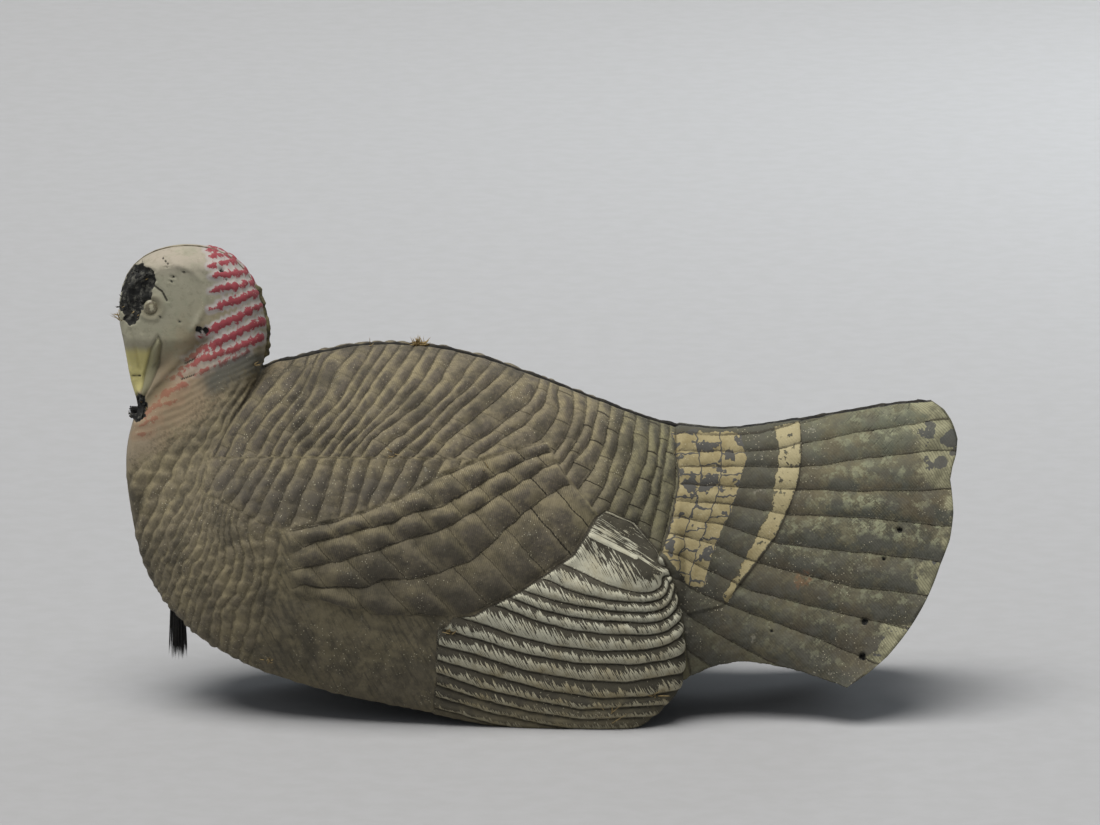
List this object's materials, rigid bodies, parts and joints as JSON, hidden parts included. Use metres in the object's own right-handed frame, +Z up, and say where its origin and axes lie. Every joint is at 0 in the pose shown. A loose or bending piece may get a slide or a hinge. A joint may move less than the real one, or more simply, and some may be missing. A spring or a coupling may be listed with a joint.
{
  "type": "turkey decoy",
  "caption": "Full-size foam jake turkey decoy with an open hollow body, fanned-down tail, swinging bristle beard and a stake socket under its back.",
  "frame": {"origin": "middle of the footprint's box, on the surface that the lower rims stand on", "axes": "+Z up, the bird faces -X with its tail at +X, and its left side is at -Y"},
  "size_m": [0.7401, 0.2512, 0.4073],
  "materials": {
    "painted_foam": "worn matte paint over black closed-cell foam",
    "seam_glue": "dull dark glue line",
    "eye": "scuffed gloss",
    "raw_foam": "bare closed-cell foam",
    "socket_plastic": "moulded",
    "hanger_plastic": "moulded",
    "pin_steel": "dull",
    "ferrule_plastic": "moulded",
    "bristle": "coarse dusty bristle"
  },
  "bodies": {
    "bird": {"left_shell": "painted_foam", "right_shell": "painted_foam", "back_seam_bead": "seam_glue", "head_seam_bead": "seam_glue", "breast_seam_bead": "seam_glue", "left_eye": "eye", "right_eye": "eye", "socket_doubler": "raw_foam", "stake_socket": "socket_plastic", "beard_hanger": "hanger_plastic"},
    "beard": {"beard_pin": "pin_steel", "beard_ferrule": "ferrule_plastic", "beard_bristles": "bristle"}
  },
  "joints": [
    {"name": "beard_swing", "type": "hinge", "parent": "bird", "child": "beard", "pos_m": [-0.321, 0, 0.116], "axis": [0, -1, 0], "range_deg": [-12, 50]}
  ]
}
